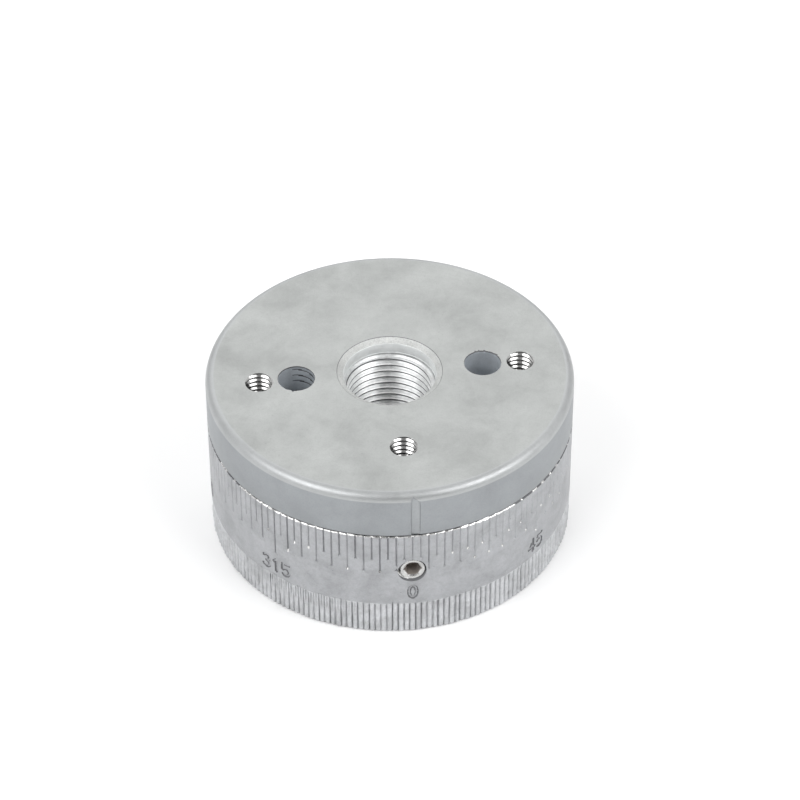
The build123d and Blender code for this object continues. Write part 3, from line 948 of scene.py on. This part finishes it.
def scale_band(shell):
    """The marks, around the patch with the lock hole. Returns the hole's mouth."""
    for angles, levels in SCALE_ZONES:
        rows = wall_rows(angles, levels, scale_wall)
        keep = outside_patch(angles, levels)
        # bright cut metal at the marks' lower ends: real burnish and painted highlight
        shiny = burnished(cell_angles(angles)[None, :], middles(levels)[:, None])
        shell.grid(rows, np.where(shiny, BRIGHT, BODY)[keep], keep=keep)
    turn = even_angles(LOCK_COLUMNS)
    wall_at_mouth = np.sqrt(RADIUS ** 2 - (LOCK_MOUTH * np.cos(np.radians(turn))) ** 2)
    lip = thread_radius(turn, wall_at_mouth, LOCK_THREAD) + 0.02
    angle_sets, level_sets = zip(*SCALE_ZONES)
    patch, faces, mouth = wall_patch(angle_sets, level_sets, scale_wall, RADIUS, lip)
    shell.add(patch, faces, BODY, False)
    return mouth


def upper_edge(shell):
    """The upper edge with its burr, with dashes of painted shade along the seam away from the front, and the
    ledge inside it.
    """
    angles = SCALE_ZONES[-1][0]
    knots = np.arange(0, len(angles) + 3, 3)
    burr = np.interp(np.arange(len(angles)), knots, random.normal(0, 0.035, len(knots)))
    rows = wall_rows(angles, EDGE_LEVELS, scale_wall)
    for row, share in ((1, 0.7), (2, 1.0)):
        swelled = np.hypot(rows[row, :, 0], rows[row, :, 1]) + np.clip(burr, -0.03, 0.06) * share
        rows[row] = around(angles, np.minimum(swelled, RADIUS), rows[row, :, 2])
    bearing = bearing_of(angles)
    # dashes of painted shade along the seam, away from the front
    seam_shade = np.repeat(random.uniform(0, 1, len(knots)) < 0.7, 3)[:len(angles)]
    seam_shade = seam_shade & ((bearing < -60) | (bearing > 31))
    shell.grid(rows, np.tile(np.where(seam_shade, BASE_PAINTED_SHADE, BRIGHT), 3))
    ledge = [(LEDGE_RADIUS, BASE_TOP), (LEDGE_RADIUS, LEDGE_Z), (CUP_RADIUS, LEDGE_Z)]
    shell.grid([rows[-1], *[around(angles, r, z) for r, z in ledge]], BRIGHT)


def cup_wall(shell):
    """The cup's inner wall. Returns its lower loop and the lock hole's inner mouth."""
    angles = even_angles(MARKS, FRONT) + MARK_STEP / 2
    levels = [LEDGE_Z, PATCH_HIGH, LOCK_Z, PATCH_LOW, FLOOR]
    rows = [around(angles, CUP_RADIUS, z) for z in levels]
    shell.grid(rows, BODY, keep=outside_patch(angles, levels))
    patch, faces, inner_mouth = wall_patch(
        [angles], [levels], lambda a, z: np.full(np.shape(a), CUP_RADIUS), CUP_RADIUS, LOCK_INNER_MOUTH)
    shell.add(patch, faces[:, ::-1], BODY, False)
    return rows[-1], inner_mouth


def lock_hole(shell, mouth, inner_mouth):
    """The tapped hole through the wall, between its two mouths. Its thread runs out to the wall."""
    low, high = 18.9, RADIUS - 0.25
    turn, rho, out = tapped_wall(LOCK_COLUMNS, low, high, LOCK_THREAD)
    rows = [across(turn, r, o) for r, o in zip(rho, out)]
    entry = [closed(mouth)]
    for share in (0.75, 0.5, 0.25):
        level = high - share * (high + entry[0][:, 1])
        entry.append(across(turn, thread_radius(turn, level, LOCK_THREAD), level))
    # the entry between the mouth and the thread gets painted shade
    shell.grid([*entry, rows[0]], BASE_PAINTED_SHADE, closed=False)
    run_out = across(turn, LOCK_INNER_MOUTH, low - 0.02)
    shell.grid([*rows, run_out, closed(inner_mouth)], BRIGHT, closed=False)


def graduated_base():
    """Cup with knurl, numbers and marks outside, the lock hole at zero, and two tapped holes in its floor."""
    shell = Shell()
    foot_loop = knurl_band(shell)
    number_band(shell)
    mouth = scale_band(shell)
    upper_edge(shell)
    floor_loop, inner_mouth = cup_wall(shell)
    lock_hole(shell, mouth, inner_mouth)
    top_loops, low_loops = [], []
    for x in (-HOLE_X, HOLE_X):
        # the crests of these threads get painted shade
        top_loop, low_loop = tapped_hole(shell, x, 0.0, 0.0, FLOOR, BRIGHT, BASE_PAINTED_SHADE, columns=30)
        top_loops.append(top_loop)
        low_loops.append(low_loop)
    bore, recess, recess_z = 8.5, 9.45, 3.2
    foot = recess + 0.15
    bore_angles = even_angles(128, FRONT)
    shell.plate(FLOOR, floor_loop, around(bore_angles, bore, FLOOR), top_loops, BODY)
    below = [(bore, FLOOR), (bore, recess_z), (recess, recess_z), (recess, 0.15), (foot, 0.0)]
    revolve(shell, bore_angles, below, BODY)
    shell.plate(0.0, foot_loop, around(bore_angles, foot, 0.0), low_loops, BODY, up=False)
    piece = shell.make("base_casting", BASE_METALS)
    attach(piece, "base")
    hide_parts("graduated_base")


# ---------------------------------------------------------------- the lock screw

def lock_screw():
    """Set screw: thread, chamfered ends and hexagon socket."""
    shell = Shell()
    columns = 96
    rear, front = -screw_box[1][1], -screw_box[0][1]
    turn = seamed_angles(columns)
    out = thread_levels(turn, rear, front, SCREW_THREAD)
    rho = thread_radius(turn, out, SCREW_THREAD)
    rho = np.minimum(rho, 1.54 + (front - out) * 0.9)
    rho = np.minimum(rho, 1.30 + (out - rear))
    rows = [across(turn, r, o) for r, o in zip(rho, out)]
    shell.grid([across(turn, 0.001, rear), *rows], STEEL, closed=False)
    half_flats, socket_depth, cone = 1.0, 2.0, 0.25
    hexagon = half_flats / np.cos(np.radians((turn % 60.0) - 30.0))
    face = [rows[-1]]
    face += [across(turn, rim, front - depth) for rim, depth in ((1.38, 0.0), (1.24, 0.0), (1.18, 0.04))]
    face += [across(turn, hexagon, front - depth) for depth in (0.14, socket_depth)]
    shell.grid(face, np.repeat([STEEL, STEEL, STEEL, STEEL, SOCKET], columns), closed=False)
    shell.fan(face[-1][:-1], (0, socket_depth + cone - front, LOCK_Z), SOCKET)
    piece = shell.make("set_screw", SCREW_METALS, sharp=30)
    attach(piece, "lock_screw")
    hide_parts("lock_screw")


rotary_table()
graduated_base()
lock_screw()


# ---------------------------------------------------------------- the pieces kept from the frame

def dress(node, material):
    """Gives a CAD node its material."""
    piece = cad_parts[node]
    for slot in piece.material_slots:
        slot.material = material
    if not piece.material_slots:
        piece.data.materials.append(material)


dress("lock_pad", cut_metal("brass", (0.78, 0.60, 0.27), 0.28, wear=0.1))
dress("spindle_bush", cut_metal("bronze", (0.60, 0.40, 0.22), 0.32, wear=0.14))
dress("thrust_ring", polymer("bearing_plastic", (0.80, 0.79, 0.74)))
spring_steel = cut_metal("spring_steel", (0.26, 0.26, 0.27), 0.34, wear=0.15)
for name in ("disc_spring", "retaining_washer", "retaining_ring"):
    dress(name, spring_steel)


# ---------------------------------------------------------------- floor and light

def add_floor():
    """A pale floor."""
    size = 1.2
    mesh = bpy.data.meshes.new("floor")
    corners = [(-size, -size, 0), (size, -size, 0), (size, size, 0), (-size, size, 0)]
    mesh.from_pydata(corners, [], [(0, 1, 2, 3)])
    floor = bpy.data.objects.new("floor", mesh)
    bpy.context.scene.collection.objects.link(floor)
    material, tree, shader = nodes_of("floor")
    mottle = noise(tree, object_place(tree), 30, 2)
    fill(tree, shader.inputs["Base Color"], ramp(tree, mottle, [(0.3, 0.93), (0.7, 0.95)]))
    fill(tree, shader.inputs["Roughness"], 0.9)
    floor.data.materials.append(material)


def add_sky():
    """A white studio, darker in one direction, in front and above."""
    world = bpy.data.worlds.new("studio")
    bpy.context.scene.world = world
    world.use_nodes = True
    sky = world.node_tree
    background = sky.nodes["Background"]
    dark_way = (-0.08, -0.86, 0.50)
    direction = put(sky, "ShaderNodeTexCoord").outputs["Generated"]
    towards = put(sky, "ShaderNodeVectorMath", _0=direction, _1=dark_way)
    towards.operation = "DOT_PRODUCT"
    fill(sky, background.inputs["Color"], ramp(sky, towards.outputs["Value"], [(0.50, 1.0), (0.86, 0.40)]))
    fill(sky, background.inputs["Strength"], 0.84)


def add_lamps():
    """Three soft boxes: two in front and a weak one behind."""
    aim = Vector((0, 0, 0.012))
    lamps = [
        ("left_box", (-0.56, -0.38, 0.62), (0.62, 0.60), 4.1),
        ("right_box", (0.55, -0.42, 0.62), (0.60, 0.60), 3.8),
        ("back_box", (0.0, 0.62, 0.62), (1.0, 0.5), 1.4),
    ]
    for name, place, (width, height), power in lamps:
        data = bpy.data.lights.new(name, "AREA")
        data.shape = "RECTANGLE"
        data.size, data.size_y = width, height
        data.energy = power
        lamp = bpy.data.objects.new(name, data)
        lamp.location = place
        lamp.rotation_euler = (aim - Vector(place)).to_track_quat("-Z", "Y").to_euler()
        bpy.context.scene.collection.objects.link(lamp)
    bpy.context.scene.view_settings.view_transform = "Standard"


add_floor()
add_sky()
add_lamps()
